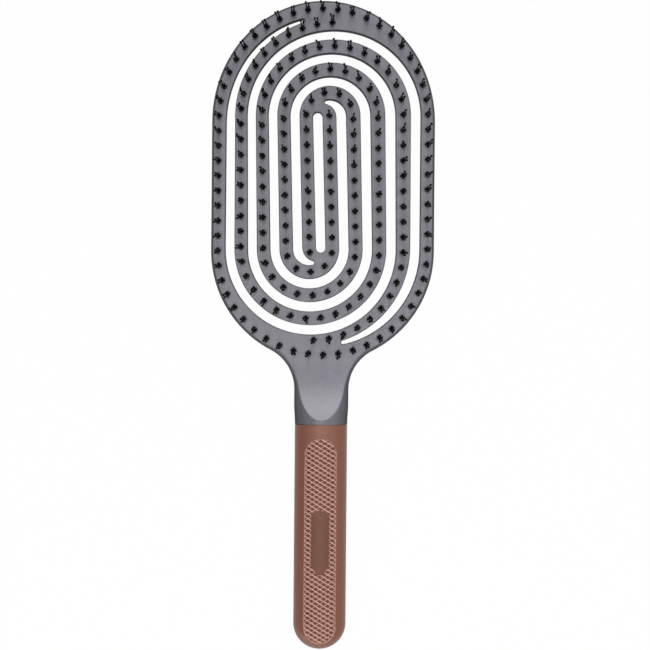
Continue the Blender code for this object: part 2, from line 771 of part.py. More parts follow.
def make_handle(bench, sleeve_material, panel_material):
    """The sleeve with its recess, and the panel that fills the recess."""
    top = HANDLE_HALF + CUT_OVERRUN
    recess_floor = handle_core_mesh("recess_floor", RECESS_DEPTH)
    recess = bench.add_helper("recess_cut", prism("recess_cut", [stadium_loop(0)], 0, top))
    add_boolean(recess, bench.add_helper("recess_floor", recess_floor), "DIFFERENCE")
    sleeve = bench.add_part("handle_sleeve", sleeve_mesh(), sleeve_material)
    add_boolean(sleeve, recess, "DIFFERENCE")

    plaque_floor = handle_core_mesh("plaque_floor", PANEL_DROP + PLAQUE_DEPTH)
    plaque = bench.add_helper("plaque_cut", prism("plaque_cut", [plaque_loop()], 0, top))
    add_boolean(plaque, bench.add_helper("plaque_floor", plaque_floor), "DIFFERENCE")
    skin = handle_core_mesh("panel_skin", PANEL_DROP)
    bed = handle_core_mesh("panel_bed", RECESS_DEPTH - SEAT_GAP)
    body = prism("grip_panel", [stadium_loop(SEAT_GAP)], 0, top)
    panel = bench.add_part("grip_panel", body, panel_material)
    add_boolean(panel, bench.add_helper("panel_skin", skin), "INTERSECT")
    add_boolean(panel, bench.add_helper("panel_bed", bed), "DIFFERENCE")
    add_boolean(panel, plaque, "DIFFERENCE")


def make_frame(bench, groove_loops, material):
    """The grey moulding: the body joined to its tang, then cut by the slots and the grooves."""
    frame = bench.add_part("head_frame", frame_body_mesh(), material)
    high = PLATE_HALF + CUT_OVERRUN
    slots = prism("slot_cut", [slot_loop(True), slot_loop(False), core_slot_loop()], -high, high)
    groove_floor = PLATE_HALF - STRIP_DEPTH - SEAT_GAP
    grooves = prism("groove_cut", groove_loops, groove_floor, high)
    add_boolean(frame, bench.add_helper("tang", tang_mesh(), material), "UNION")
    add_boolean(frame, bench.add_helper("slot_cut", slots), "DIFFERENCE")
    add_boolean(frame, bench.add_helper("groove_cut", grooves), "DIFFERENCE")


def main():
    clear_scene()
    bench = Bench()
    grey = make_material("frame_grey", FRAME_GREY, 0.55, 0.0)
    black = make_material("bristle_black", BRISTLE_BLACK, 0.4, 0.0)
    copper = make_material("sleeve_copper", SLEEVE_COPPER, 0.42, 0.25)
    grip = make_material("panel_copper", PANEL_COPPER, 0.5, 0.25)
    groove_loops = make_rows(bench, [grey, black])
    make_frame(bench, groove_loops, grey)
    make_handle(bench, copper, grip)


main()
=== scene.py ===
"""Looks of a vented detangling hair brush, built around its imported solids.

Metres, +Z up. The brush lies on its back with its bristles up, its head towards +Y and its handle
towards -Y. The frame, the handle sleeve and the grip panel are drawn again with fine edges, and
every row of bristles becomes tufts of ball-tipped strands.
"""

import math
import random

import bmesh
import bpy
from mathutils import Matrix, Vector


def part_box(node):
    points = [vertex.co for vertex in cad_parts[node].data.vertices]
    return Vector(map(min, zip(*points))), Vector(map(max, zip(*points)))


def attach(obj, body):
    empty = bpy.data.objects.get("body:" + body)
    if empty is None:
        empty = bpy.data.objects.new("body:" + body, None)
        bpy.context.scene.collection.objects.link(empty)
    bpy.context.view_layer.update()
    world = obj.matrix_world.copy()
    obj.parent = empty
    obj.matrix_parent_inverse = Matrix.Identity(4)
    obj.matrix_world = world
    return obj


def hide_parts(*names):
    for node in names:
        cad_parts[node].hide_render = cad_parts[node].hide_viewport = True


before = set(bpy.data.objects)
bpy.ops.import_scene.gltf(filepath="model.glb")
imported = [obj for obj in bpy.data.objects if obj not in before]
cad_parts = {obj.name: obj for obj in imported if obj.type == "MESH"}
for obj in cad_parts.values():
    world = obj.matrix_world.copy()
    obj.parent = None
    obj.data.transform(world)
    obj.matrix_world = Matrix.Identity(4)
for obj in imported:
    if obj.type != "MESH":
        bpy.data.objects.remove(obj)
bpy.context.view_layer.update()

# The whole brush, as in its solids
BRUSH_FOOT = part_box("handle_sleeve")[0].y
BRUSH_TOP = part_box("head_frame")[1].y
HANDLE_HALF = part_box("handle_sleeve")[1].z / 2
HANDLE_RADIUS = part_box("handle_sleeve")[1].x
HANDLE_WIDTH = 2 * HANDLE_RADIUS
HEAD_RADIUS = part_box("head_frame")[1].x
PLATE_HALF = 0.003
SEAT_GAP = 0.0003

# Meshes: fineness of arcs, points taken as one, sharp edges in degrees, and even shading
CHORD_SAG = 0.000012
WELD_DISTANCE = 0.000001
LEAST_STEP = 0.00002
SHARP_ANGLE = 40
FACE_WEIGHT = 100

# Outline of the head and the neck
HEAD_TOP_SHARE = 1.086
RIM_SETBACK = 0.001
NECK_LENGTH = 0.0237
NECK_SWELL = 0.0007
NECK_TAPER = 0.008
FLARE_RADIUS = 0.017
COLLAR_LENGTH = 0.0016
SCOOP_RUN_OUT = 0.0008
SCOOP_STEPS = 40
SCOOP_LIP = 0.00005
RIM_STEPS = 7
EDGE_ROUND = 0.00035
EDGE_STEPS = 4

# Spiral slots
SLOT_WIDTH = 0.0036
RIM_WIDTH = 0.00555
SLOTS_PER_SIDE = 4
SPIRAL_TOP_RISE = 0.0022
SPIRAL_FOOT_RISE = 0.0008
CORE_DRIFT_TOP = 0.00228
CORE_DRIFT_FOOT = 0.0007
CORE_SLOT_REACH = 0.0014
CORE_CORNER_SHARE = 0.6
CORE_CORNER_DROP = 0.0006
BLIND_TOP_EASE = 0.0004
BLIND_FOOT_EASE = 0.0012
BLIND_ROW_EASE = 0.0006
CORE_ROW_RUN_ON = 0.0014
CORE_ROW_SHIFT = 0.0003
BLIND_RIM_EASE = 0.0007
BLIND_END_ANGLE = 13.0
BLIND_END_INNER_ANGLE = 19.7
HOOK_ANGLE = 10.0
CAP_STEPS = 10
SLOT_EDGE_ROUND = 0.00045
SLOT_EDGE_ANGLE = 78
SLOT_EDGE_STEPS = 4
CUT_OVERRUN = 0.003

# Bristle tufts: two long strands among four short ones, in a shallow dimple
BRISTLE_HEIGHT = 0.015
SHORT_STRAND_SHARE = 0.9
STRAND_ROOT = 0.0007
FAN_SHARE = 0.0173
FAN_SHIFT_ACROSS = 0.014
FAN_SHIFT_ALONG = 0.012
STRAY_LEAN = 0.0007
LEAN_SEED = 11
RING_TOP_DROP = 0.0007
RING_FOOT_RISE = 0.0004
RING_TUFTS = 62
ARM_TUFTS = 74
FIRST_TUFT_ANGLE = 92.2
BRISTLE_SHARP_ANGLE = 50
STRAND_SIDES = 8
STEM_REACH_SHARE = 0.97
STEM_FOOT_SHARE = 1.12
STEM_TAPER_SHARE = 0.22
LONG_FOOT_REACH = 0.00031
LONG_TIP_REACH = 0.00052
LONG_TURN = 0.8
LONG_BOW = 0.0002
SHORT_STRANDS = 4
SHORT_FOOT_REACH = 0.00066
SHORT_TIP_REACH = 0.00068
SHORT_HEIGHT = 0.0026
SHORT_LOWEST_SHARE = 0.75
SHORT_TALLEST_SHARE = 1.3
SHORT_TURN = 0.14
DIMPLE_RADIUS = 0.00155
DIMPLE_DEPTH = 0.00010
DIMPLE_SIDES = 28

# A dimple's section from near its middle outwards: share of its radius, rise as a share of its depth
DIMPLE_SECTION = ((0.5, -0.92), (0.7, -0.66), (0.86, -0.28), (1.0, 0.0), (1.12, 2.0))

# A strand's form: radius of its stem and of its ball, steps up the stem, angles round the ball
LONG_STRAND = (0.00030, 0.00048, 4, (42, 75, 105, 135, 165))
SHORT_STRAND = (0.00038, 0.00056, 1, (45, 90, 130, 165))

# Handle sleeve and grip panel
SLEEVE_WALL = 0.0035
TANG_LENGTH_SHARE = 0.72
TANG_END_GAP = 0.001
TANG_STEPS = 48
SLEEVE_EDGE_ROUND = 0.00018
SLEEVE_EDGE_STEPS = 3
SPIGOT_LENGTH = 0.00014
SPIGOT_INSET = 0.00030
JOINT_GAP = 0.00016
SLEEVE_STEPS = 128
END_STEPS = 20
PANEL_WIDTH = 0.0125
PANEL_TOP_MARGIN = 0.0054
PANEL_END_MARGIN = 0.0024
RECESS_DEPTH = 0.0012
RECESS_TOP_SPREAD = 0.0004
RECESS_TOP_FOOT_SPREAD = 0.0009
PANEL_DROP = 0.00015
PLAQUE_DEPTH = 0.0003
PLAQUE_WIDTH = 0.0071
PLAQUE_LENGTH = 0.0247
PLAQUE_TOP_CUT = 0.0014
PLAQUE_FOOT_CUT = 0.0034
PLAQUE_FOOT_WIDTH = 0.0022
PLAQUE_SETTLE = 0.0005
PLAQUE_RAMP = 0.0003
PIT_ACROSS = 0.00312
PIT_ALONG = 0.00186
PIT_DEPTH = 0.00050
PIT_SLANT = 0.17
RIB_SHARE = 0.02
RIB_SLOPE = 0.24
PANEL_GAP = 0.00004
PANEL_EDGE_ROUND = 0.00035
PANEL_EDGE_DROP = 0.0002
PANEL_COLUMNS = 64
PANEL_ROW_STEP = 0.00018
PANEL_BACK_COLUMNS = 8
PANEL_LEAST_THICKNESS = 0.0001
PANEL_SHARP_ANGLE = 60
PIT_BORDER = 0.0005

# The recess's broken edge, ring by ring: spread, spread at the foot, rise, rise at the foot
RECESS_EDGE = (
    (0, 0, -0.00030, -0.00032),
    (0.00005, 0.00030, 0, -0.00014),
    (0.0001, 0.00062, 0.00003, 0.00004),
)

# Levels and sizes that follow
HANDLE_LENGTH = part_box("handle_sleeve")[1].y + SEAT_GAP - BRUSH_FOOT
JOINT_LEVEL = BRUSH_FOOT + HANDLE_LENGTH
HANDLE_END_CENTRE = BRUSH_FOOT + HANDLE_RADIUS
NECK_WIDTH = HANDLE_WIDTH + NECK_SWELL
HEAD_FOOT_CENTRE = JOINT_LEVEL + NECK_LENGTH + HEAD_RADIUS
HEAD_TOP_RISE = HEAD_RADIUS * HEAD_TOP_SHARE
HEAD_TOP_CENTRE = BRUSH_TOP - HEAD_TOP_RISE
TANG_LENGTH = HANDLE_LENGTH * TANG_LENGTH_SHARE
BORE_RADIUS = HANDLE_RADIUS - SLEEVE_WALL
PANEL_LENGTH = HANDLE_LENGTH - PANEL_TOP_MARGIN - PANEL_END_MARGIN
PANEL_FOOT = BRUSH_FOOT + PANEL_END_MARGIN
PANEL_RADIUS = PANEL_WIDTH / 2
PANEL_LOW = PANEL_FOOT + PANEL_RADIUS
PANEL_HIGH = PANEL_FOOT + PANEL_LENGTH - PANEL_RADIUS
INLAY_RADIUS = PANEL_RADIUS - PANEL_GAP
INLAY_LENGTH = PANEL_HIGH - PANEL_LOW + 2 * INLAY_RADIUS
PANEL_ROWS = math.ceil(INLAY_LENGTH / PANEL_ROW_STEP)
SCOOP_END = JOINT_LEVEL + COLLAR_LENGTH
SCOOP_START = JOINT_LEVEL + NECK_LENGTH + SCOOP_RUN_OUT
SCOOP_LENGTH = SCOOP_START - SCOOP_END
SCOOP_DEPTH = HANDLE_HALF - PLATE_HALF
SCOOP_RADIUS = (SCOOP_LENGTH**2 + SCOOP_DEPTH**2) / (2 * SCOOP_DEPTH)
PITCH = (HEAD_RADIUS - RIM_WIDTH - SLOT_WIDTH / 2) / SLOTS_PER_SIDE
RIB_WIDTH = PITCH - SLOT_WIDTH
SPIRAL_TOP = HEAD_TOP_CENTRE + SPIRAL_TOP_RISE
SPIRAL_FOOT = HEAD_FOOT_CENTRE + SPIRAL_FOOT_RISE
SPIRAL_MIDDLE = (SPIRAL_TOP + SPIRAL_FOOT) / 2
SPIRAL_REACH = (SPIRAL_TOP - SPIRAL_FOOT) / 2
LIFT = Matrix.Translation((0, 0, HANDLE_HALF))

# Camera: straight above, with its picture's middle a little off the brush's own
PICTURE_SIZE = 650
METRES_PER_PIXEL = 0.0003854
CAMERA_ACROSS = 0.00121
CAMERA_ALONG = -0.00005
CAMERA_LEVEL = 0.0085
CAMERA_DISTANCE = 0.900
CAMERA_ROLL_SLOPE = 0.00853
CAMERA_ROLL = math.atan(CAMERA_ROLL_SLOPE)
CAMERA_CLIP = 0.01
SENSOR_WIDTH = 36

# Stage: (name, place, size, watts) of each lamp, and the light from all round
LAMPS = (
    ("key_beyond_head", (0.0, 1.17, 1.98), (0.80, 1.00), 26.0),
    ("soft_overhead", (-0.12, -0.24, 1.66), (0.44, 0.56), 6.0),
    ("strip_left", (-0.26, 0.02, 0.36), (0.16, 0.40), 0.28),
    ("strip_right", (0.24, 0.02, 0.38), (0.16, 0.40), 0.50),
    ("fill_beyond_foot", (0.0, -0.42, 0.30), (0.34, 0.20), 0.85),
    ("low_left_of_foot", (-0.16, -0.42, 0.07), (0.30, 0.10), 0.40),
)
WORLD_LEFT = 0.07
WORLD_RIGHT = 0.42
WORLD_LEFT_END = -1.0
WORLD_RIGHT_END = 0.3
FLOOR_HALF = 6.0
FLOOR_COLOUR = (0.62, 0.62, 0.62)
FLOOR_WHITE_SHARE = 0.975
FLOOR_ROUGHNESS = 0.9

# Tones and colours, some of them painted shade as marked, and the sheen's roughness
SHEEN_ROUGHNESS = 0.4
FRAME_DARKER = 0.112
FRAME_PALER = 0.126
FRAME_WARMTH = 0.045
FRAME_COOLNESS = 0.20
# Painted shade: factors that darken the frame's sideways faces, most of all its slot walls
EDGE_PAINTED_SHADE = 0.32
SLOT_WALL_PAINTED_SHADE = 0.10
# Painted shade on the collar, as a factor on the frame's colour
COLLAR_PAINTED_SHADE = 0.70
SCUFF_GREY = 0.18
COPPER_DARKER = (0.143, 0.053, 0.030, 1)
COPPER_PALER = (0.164, 0.061, 0.034, 1)
INLAY_RIB = (0.460, 0.257, 0.207, 1)
# Painted shade in the inlay's pits and on their slopes; the plaque takes the pit colour too
INLAY_SLOPE_PAINTED_SHADE = (0.225, 0.101, 0.073, 1)
INLAY_PIT_SHADE_AND_PLAQUE = (0.098, 0.027, 0.012, 1)


def arc(centre, radius, start, end):
    """Points from the start angle to the end angle in degrees, close enough for the sag."""
    return half_ellipse(centre, radius, radius, start, end)


def half_ellipse(centre, width, height, start, end):
    step = 2 * math.acos(1 - CHORD_SAG / max(width, height))
    sweep = math.radians(end - start)
    count = max(2, math.ceil(abs(sweep) / step))
    angles = [math.radians(start) + sweep * i / count for i in range(count + 1)]
    return [centre + Vector((width * math.cos(a), height * math.sin(a))) for a in angles]


def smooth_step(value):
    value = min(1, max(0, value))
    return value * value * (3 - 2 * value)


def circle(count):
    """As many (x, y) pairs as the count, spaced evenly round a circle of radius 1."""
    angles = [2 * math.pi * i / count for i in range(count)]
    return [(math.cos(angle), math.sin(angle)) for angle in angles]


def ring_faces(rings, count, base=0):
    """Faces between rings of as many points each, the first of which starts at the base."""
    faces = []
    for low in range(base, base + (rings - 1) * count, count):
        for i in range(count):
            near = (i + 1) % count
            faces.append((low + i, low + near, low + count + near, low + count + i))
    return faces


def weld(mesh):
    """Joins the points that meet and turns the faces outwards."""
    form = bmesh.new()
    form.from_mesh(mesh)
    bmesh.ops.remove_doubles(form, verts=form.verts, dist=WELD_DISTANCE)
    bmesh.ops.recalc_face_normals(form, faces=form.faces)
    form.to_mesh(mesh)
    form.free()


def new_mesh(name, points, faces):
    mesh = bpy.data.meshes.new(name)
    mesh.from_pydata(points, [], faces)
    weld(mesh)
    return mesh


def add_object(name, data):
    obj = bpy.data.objects.new(name, data)
    bpy.context.scene.collection.objects.link(obj)
    return obj


def dress(name, mesh, material, sharp_angle=SHARP_ANGLE):
    """An object of the mesh, with its one material and its sharp edges."""
    mesh.materials.clear()
    mesh.materials.append(material)
    mesh.shade_smooth()
    mesh.set_sharp_from_angle(angle=math.radians(sharp_angle))
    return add_object(name, mesh)


def even_faces(obj):
    """Lets the large faces set the shading, so that the fine edges don't bend it."""
    weights = obj.modifiers.new("even_faces", "WEIGHTED_NORMAL")
    weights.mode = "FACE_AREA"
    weights.weight = FACE_WEIGHT
    weights.keep_sharp = True


def store(mesh, name, values):
    """Keeps a number at each point of the mesh, for its material to read."""
    kept = mesh.attributes.new(name, "FLOAT", "POINT")
    kept.data.foreach_set("value", values)


def finish_piece(obj, nodes):
    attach(obj, "root")
    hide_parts(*nodes)


def cut(name, mesh, cutters):
    """The mesh after these Boolean cuts, as a new mesh."""
    obj = add_object(name, mesh)
    helpers = []
    for cutter in cutters:
        helper = add_object(name + "_helper", cutter)
        helpers.append(helper)
        modifier = obj.modifiers.new("cut", "BOOLEAN")
        modifier.operation = "DIFFERENCE"
        modifier.object = helper
        modifier.solver = "EXACT"
    bpy.context.view_layer.update()
    graph = bpy.context.evaluated_depsgraph_get()
    result = bpy.data.meshes.new_from_object(obj.evaluated_get(graph))
    for used in [obj] + helpers:
        bpy.data.objects.remove(used)
    result.name = name
    return result


def stack(name, rings):
    """A closed mesh through rings of as many points each, with flat ends."""
    count = len(rings[0])
    points = [tuple(point) for ring in rings for point in ring]
    faces = [tuple(range(count))[::-1]] + ring_faces(len(rings), count)
    faces.append(tuple(range(len(points) - count, len(points))))
    return new_mesh(name, points, faces)


# Head and neck outline


def flare_centre():
    across = NECK_WIDTH / 2 + FLARE_RADIUS
    along = math.sqrt((HEAD_RADIUS + FLARE_RADIUS) ** 2 - across**2)
    return Vector((across, HEAD_FOOT_CENTRE - along))


def neck_half_width(level):
    grown = smooth_step((level - JOINT_LEVEL) / NECK_TAPER)
    return HANDLE_RADIUS + (NECK_WIDTH - HANDLE_WIDTH) / 2 * grown


def scoop_height(level):
    run = min(SCOOP_LENGTH, max(0, SCOOP_START - level))
    return PLATE_HALF + SCOOP_RADIUS - math.sqrt(SCOOP_RADIUS**2 - run**2)


def scoop_levels():
    """Levels of the neck, closer together where the scoop's rounded tip needs them."""
    lowest = math.asin(PLATE_HALF / HANDLE_HALF)
    levels = [JOINT_LEVEL]
    for i in range(SCOOP_STEPS + 1):
        angle = math.pi / 2 + (lowest - math.pi / 2) * i / SCOOP_STEPS
        rise = HANDLE_HALF * math.sin(angle) - PLATE_HALF
        run = math.sqrt(max(0, SCOOP_RADIUS**2 - (SCOOP_RADIUS - rise) ** 2))
        levels.append(SCOOP_START - run)
    return levels


def right_outline():
    """(point, inward normal) pairs up the right side, from the joint to the brush's top."""
    centre = flare_centre()
    pairs = []
    for level in scoop_levels():
        if level < centre.y:
            pairs.append((Vector((neck_half_width(level), level)), Vector((-1, 0))))
    touch = Vector((0, HEAD_FOOT_CENTRE)) - centre
    touch_angle = math.degrees(math.atan2(touch.y, touch.x))
    for point in arc(centre, FLARE_RADIUS, 180, touch_angle):
        pairs.append((point, (point - centre).normalized()))
    foot = Vector((0, HEAD_FOOT_CENTRE))
    for point in arc(foot, HEAD_RADIUS, touch_angle - 180, 0)[1:]:
        pairs.append((point, (foot - point).normalized()))
    top = Vector((0, HEAD_TOP_CENTRE))
    for point in half_ellipse(top, HEAD_RADIUS, HEAD_TOP_RISE, 0, 90):
        slope = Vector((point.x / HEAD_RADIUS**2, (point.y - top.y) / HEAD_TOP_RISE**2))
        pairs.append((point, -slope.normalized()))
    return pairs


def full_outline():
    right = right_outline()
    left = [(Vector((-p.x, p.y)), Vector((-n.x, n.y))) for p, n in reversed(right[:-1])]
    return right + left


def rim_section(point, normal):
    """(place, height) pairs from the mid plane over the rounded edge onto the face."""
    head_bulge = RIM_SETBACK / (1 - math.cos(math.asin(PLATE_HALF / HANDLE_HALF)))
    on_head = point.y > HEAD_FOOT_CENTRE
    headward = 1 if on_head else smooth_step((abs(point.x) - NECK_WIDTH / 2) / FLARE_RADIUS)
    bulge = abs(point.x) * (1 - headward) + head_bulge * headward
    edge = point
    for _ in range(RIM_STEPS):
        top_angle = math.asin(min(1, scoop_height(edge.y) / HANDLE_HALF))
        edge = point + normal * bulge * (1 - math.cos(top_angle))
    radius = EDGE_ROUND if on_head else min(EDGE_ROUND, abs(edge.x) / 2)
    start_angle = max(top_angle / 2, top_angle - radius / HANDLE_HALF)
    section = []
    for i in range(RIM_STEPS + 1):
        angle = start_angle * i / RIM_STEPS
        place = point + normal * bulge * (1 - math.cos(angle))
        section.append((place, HANDLE_HALF * math.sin(angle)))
    start = section[-1]
    inner = edge + normal * radius
    for i in range(1, EDGE_STEPS + 1):
        t = i / EDGE_STEPS
        parts = ((1 - t) ** 2, 2 * t * (1 - t), t**2)
        place = start[0] * parts[0] + edge * parts[1] + inner * parts[2]
        heights = (start[1], scoop_height(edge.y), scoop_height(inner.y))
        section.append((place, sum(share * height for share, height in zip(parts, heights))))
    return section


def frame_body_mesh():
    """Head plate and neck: rings that follow the rim, closed by the two faces and the joint's end."""
    sections = [rim_section(p, n) for p, n in full_outline()]
    depth = len(sections[0])
    count = len(sections)
    points = []
    for side in (1, -1):
        for section in sections:
            points += [(p.x, p.y, side * h) for p, h in section]
    faces = []
    for side in (0, 1):
        base = side * count * depth
        for i in range(count - 1):
            for k in range(depth - 1):
                low = base + i * depth + k
                faces.append((low, low + depth, low + depth + 1, low + 1))
        edge = [base + i * depth + depth - 1 for i in range(count)]
        flat = next(i for i in range(count) if sections[i][-1][0].y >= SCOOP_START)
        for i in range(flat):
            faces.append((edge[i], edge[i + 1], edge[count - 2 - i], edge[count - 1 - i]))
        faces.append(edge[flat : count - flat])
    left = (count - 1) * depth
    back = count * depth
    end = list(range(depth)) + [left + k for k in reversed(range(depth))]
    end += [back + left + k for k in range(1, depth)] + [back + k for k in range(depth - 1, 0, -1)]
    faces.append(end)
    return new_mesh("frame_body", points, faces)


# Spiral: drawn even and point-symmetric about its middle, then settled to its real place


def settle(point):
    """Moves a point of the even spiral to its place: the core sits a little to the left."""
    level = min(SPIRAL_REACH, max(-SPIRAL_REACH, point.y))
    beyond = point.y - level
    reach = SLOTS_PER_SIDE * PITCH
    fade = max(0, 1 - (point.x**2 + beyond**2) / reach**2)
    share = (level + SPIRAL_REACH) / (2 * SPIRAL_REACH)
    drift = CORE_DRIFT_FOOT + (CORE_DRIFT_TOP - CORE_DRIFT_FOOT) * share
    return Vector((point.x - drift * fade, point.y + SPIRAL_MIDDLE))


def round_cap(start, end):
    """Points of a half circle from start to end, bulging to the right of the way there."""
    centre = (start + end) / 2
    arm = start - centre
    turns = [math.pi * i / CAP_STEPS for i in range(1, CAP_STEPS)]
    return [centre + Matrix.Rotation(turn, 2) @ arm for turn in turns]


def rim_inset(angle, at_top):
    """A point on the rim's inner edge, as seen from the spiral's middle. Its tip end is drawn in."""
    share = 2 - angle / (math.pi / 2)
    inset = RIM_WIDTH + BLIND_RIM_EASE * share * (2 - share)
    width = HEAD_RADIUS - inset
    if at_top:
        height = HEAD_TOP_RISE - inset
        centre = HEAD_TOP_CENTRE - SPIRAL_MIDDLE
    else:
        height = width
        centre = SPIRAL_MIDDLE - HEAD_FOOT_CENTRE
    return Vector((width * math.cos(angle), centre + height * math.sin(angle)))


def ease_in(point, centre, amount):
    """Draws a point near a blind end in towards the centre, more so near its tip."""
    way = point - centre
    share = 2 - math.atan2(way.y, way.x) / (math.pi / 2)
    return point - way.normalized() * amount * share


def slot_loop(at_top):
    """One spiral slot, which starts blind at the rim and winds into the core."""
    half = SLOT_WIDTH / 2
    top = Vector((PITCH / 2, SPIRAL_REACH))
    foot = Vector((-PITCH / 2, -SPIRAL_REACH))
    turns = SLOTS_PER_SIDE - 0.5
    outer = []
    for point in arc(Vector((0, 0)), HEAD_RADIUS - RIM_WIDTH, 90 + BLIND_END_ANGLE, 180):
        outer.append(rim_inset(math.atan2(point.y, point.x), at_top))
    blind_radius = SLOTS_PER_SIDE * PITCH + RIB_WIDTH / 2
    inner = []
    for point in arc(top, blind_radius, 90 + BLIND_END_INNER_ANGLE, 180):
        inner.append(ease_in(point, top, BLIND_TOP_EASE if at_top else BLIND_FOOT_EASE))
    for centre, turn, start in ((foot, turns, 180), (top, turns - 1, 0), (foot, turns - 2, 180)):
        outer += arc(centre, turn * PITCH + half, start, start + 180)
        inner += arc(centre, turn * PITCH - half, start, start + 180)
    outer += arc(top, (turns - 3) * PITCH + PITCH / 2 - RIB_WIDTH / 2, 0, 90 + HOOK_ANGLE)
    radius = PITCH * CORE_CORNER_SHARE
    corner = Vector((PITCH - half - radius, SPIRAL_REACH - CORE_CORNER_DROP))
    last = math.degrees(math.acos((outer[-1].x - corner.x) / radius))
    inner += arc(corner, radius, 0, last)
    loop = outer + round_cap(outer[-1], inner[-1]) + inner[::-1] + round_cap(inner[0], outer[0])
    if not at_top:
        loop = [-point for point in loop]
    return [settle(point) for point in loop]


def core_slot_loop():
    half = SLOT_WIDTH / 2
    end = Vector((0, SPIRAL_REACH + CORE_SLOT_REACH - half))
    loop = arc(end, half, 0, 180) + arc(-end, half, 180, 360)
    return [settle(point) for point in loop]


def without_repeats(loop):
    return [point for i, point in enumerate(loop) if (point - loop[i - 1]).length > LEAST_STEP]


def outward_normals(loop):
    """The normals of a closed loop, pointing out of what it encloses."""
    count = len(loop)
    area = sum(loop[i - 1].x * loop[i].y - loop[i].x * loop[i - 1].y for i in range(count))
    turn = 1 if area > 0 else -1
    normals = []
    for i in range(count):
        way = (loop[(i + 1) % count] - loop[i]).normalized() + (loop[i] - loop[i - 1]).normalized()
        way.normalize()
        normals.append(Vector((way.y, -way.x)) * turn)
    return normals


def edge_profile():
    """(spread, height) pairs of a slot's wall: straight inside, rounded out to both faces."""
    pairs = []
    for i in range(SLOT_EDGE_STEPS + 1):
        angle = math.radians(SLOT_EDGE_ANGLE) * i / SLOT_EDGE_STEPS
        spread = SLOT_EDGE_ROUND * (1 - math.cos(angle))
        height = PLATE_HALF - SLOT_EDGE_ROUND + SLOT_EDGE_ROUND * math.sin(angle)
        pairs.append((spread, height))
    pairs.append((spread + SLOT_EDGE_ROUND, PLATE_HALF + CUT_OVERRUN))
    return [(s, -h) for s, h in reversed(pairs)] + pairs


def slot_cutter(loop):
    loop = without_repeats(loop)
    normals = outward_normals(loop)
    rings = []
    for spread, height in edge_profile():
        ring = [point + normal * spread for point, normal in zip(loop, normals)]
        rings.append([(point.x, point.y, height) for point in ring])
    return stack("slot", rings)


def oval_lathe(name, profile, flatten, steps=SLEEVE_STEPS):
    """A profile of (radius, level) pairs turned about the handle's axis, then flattened in Z."""
    points = []
    for radius, level in profile:
        points += [(radius * x, level, radius * z * flatten) for x, z in circle(steps)]
    return new_mesh(name, points, ring_faces(len(profile), steps))


def flatness(inset):
    return (HANDLE_HALF - inset) / (HANDLE_RADIUS - inset)


def dimples_cutter(places):
    """A shallow round hollow in the face at each place."""
    points = []
    faces = []
    for place in places:
        base = len(points)
        for share, rise in DIMPLE_SECTION:
            radius = DIMPLE_RADIUS * share
            height = PLATE_HALF + DIMPLE_DEPTH * rise
            for x, y in circle(DIMPLE_SIDES):
                points.append((place.x + radius * x, place.y + radius * y, height))
        faces += ring_faces(len(DIMPLE_SECTION), DIMPLE_SIDES, base)
        middle = len(points)
        points.append((place.x, place.y, PLATE_HALF - DIMPLE_DEPTH))
        for i in range(DIMPLE_SIDES):
            faces.append((middle, base + (i + 1) % DIMPLE_SIDES, base + i))
        faces.append(tuple(range(middle - DIMPLE_SIDES, middle)))
    return new_mesh("dimples", points, faces)


def within_rim(place):
    """1 inside the rim, where every wall belongs to a slot, and 0 on the rim, the neck and the tang."""
    along = max(0, place.y - HEAD_TOP_CENTRE) * HEAD_RADIUS / HEAD_TOP_RISE
    along += min(0, place.y - HEAD_FOOT_CENTRE)
    return float(math.hypot(place.x, along) < HEAD_RADIUS - RIM_WIDTH / 2)


def collar_shade_share(place):
    """1 on the collar, fading out up the neck's sides, and 0 in the scoop: where the collar's painted
    shade falls.
    """
    if place.y > SCOOP_END and abs(place.z) > scoop_height(place.y) - SCOOP_LIP:
        return 0
    return 1 - smooth_step((place.y - SCOOP_END) / SCOOP_LENGTH)


def make_frame(rows, material):
    """The grey moulding with its slots, a dimple under each tuft, and the tang in the sleeve."""
    places = [row.at(run)[0] for _, row, _, runs in rows for run in runs]
    loops = [slot_loop(True), slot_loop(False), core_slot_loop()]
    cutters = [slot_cutter(loop) for loop in loops] + [dimples_cutter(places)]
    mesh = cut("brush_frame", frame_body_mesh(), cutters)
    tang_radius = BORE_RADIUS - SEAT_GAP
    tang_flatness = (BORE_RADIUS * flatness(0) - SEAT_GAP) / tang_radius
    tang_foot = JOINT_LEVEL - TANG_LENGTH
    spigot_foot = JOINT_LEVEL - SPIGOT_LENGTH
    spigot_radius = HANDLE_RADIUS - SPIGOT_INSET
    tang_profile = [(0, tang_foot), (tang_radius, tang_foot), (tang_radius, spigot_foot)]
    tang_profile += [(spigot_radius, spigot_foot), (spigot_radius, JOINT_LEVEL), (0, JOINT_LEVEL)]
    tang = oval_lathe("tang", tang_profile, tang_flatness, TANG_STEPS)
    form = bmesh.new()
    form.from_mesh(mesh)
    form.from_mesh(tang)
    form.to_mesh(mesh)
    form.free()
    # Masks for painted shade: deepest on the slot walls inside the rim, and on the collar
    store(mesh, "slot_wall_shade_mask", [within_rim(vertex.co) for vertex in mesh.vertices])
    store(mesh, "collar", [collar_shade_share(vertex.co) for vertex in mesh.vertices])
    mesh.transform(LIFT)
    obj = dress("brush_frame", mesh, material)
    even_faces(obj)
    finish_piece(obj, ["head_frame"])


# Tufts


class Row:
    """A row's route as one line of points, with the length run at each point."""

    def __init__(self, sections):
        self.points = [sections[0][1][0]]
        self.runs = [0]
        self.ends = []
        for name, points in sections:
            for point in points:
                step = (point - self.points[-1]).length
                if step > WELD_DISTANCE:
                    self.points.append(point)
                    self.runs.append(self.runs[-1] + step)
            self.ends.append((name, self.runs[-1]))
        self.length = self.runs[-1]

    def at(self, run):
        index = 1
        while index < len(self.runs) - 1 and self.runs[index] < run:
            index += 1
        start = self.points[index - 1]
        way = (self.points[index] - start).normalized()
        return start + way * (run - self.runs[index - 1]), way


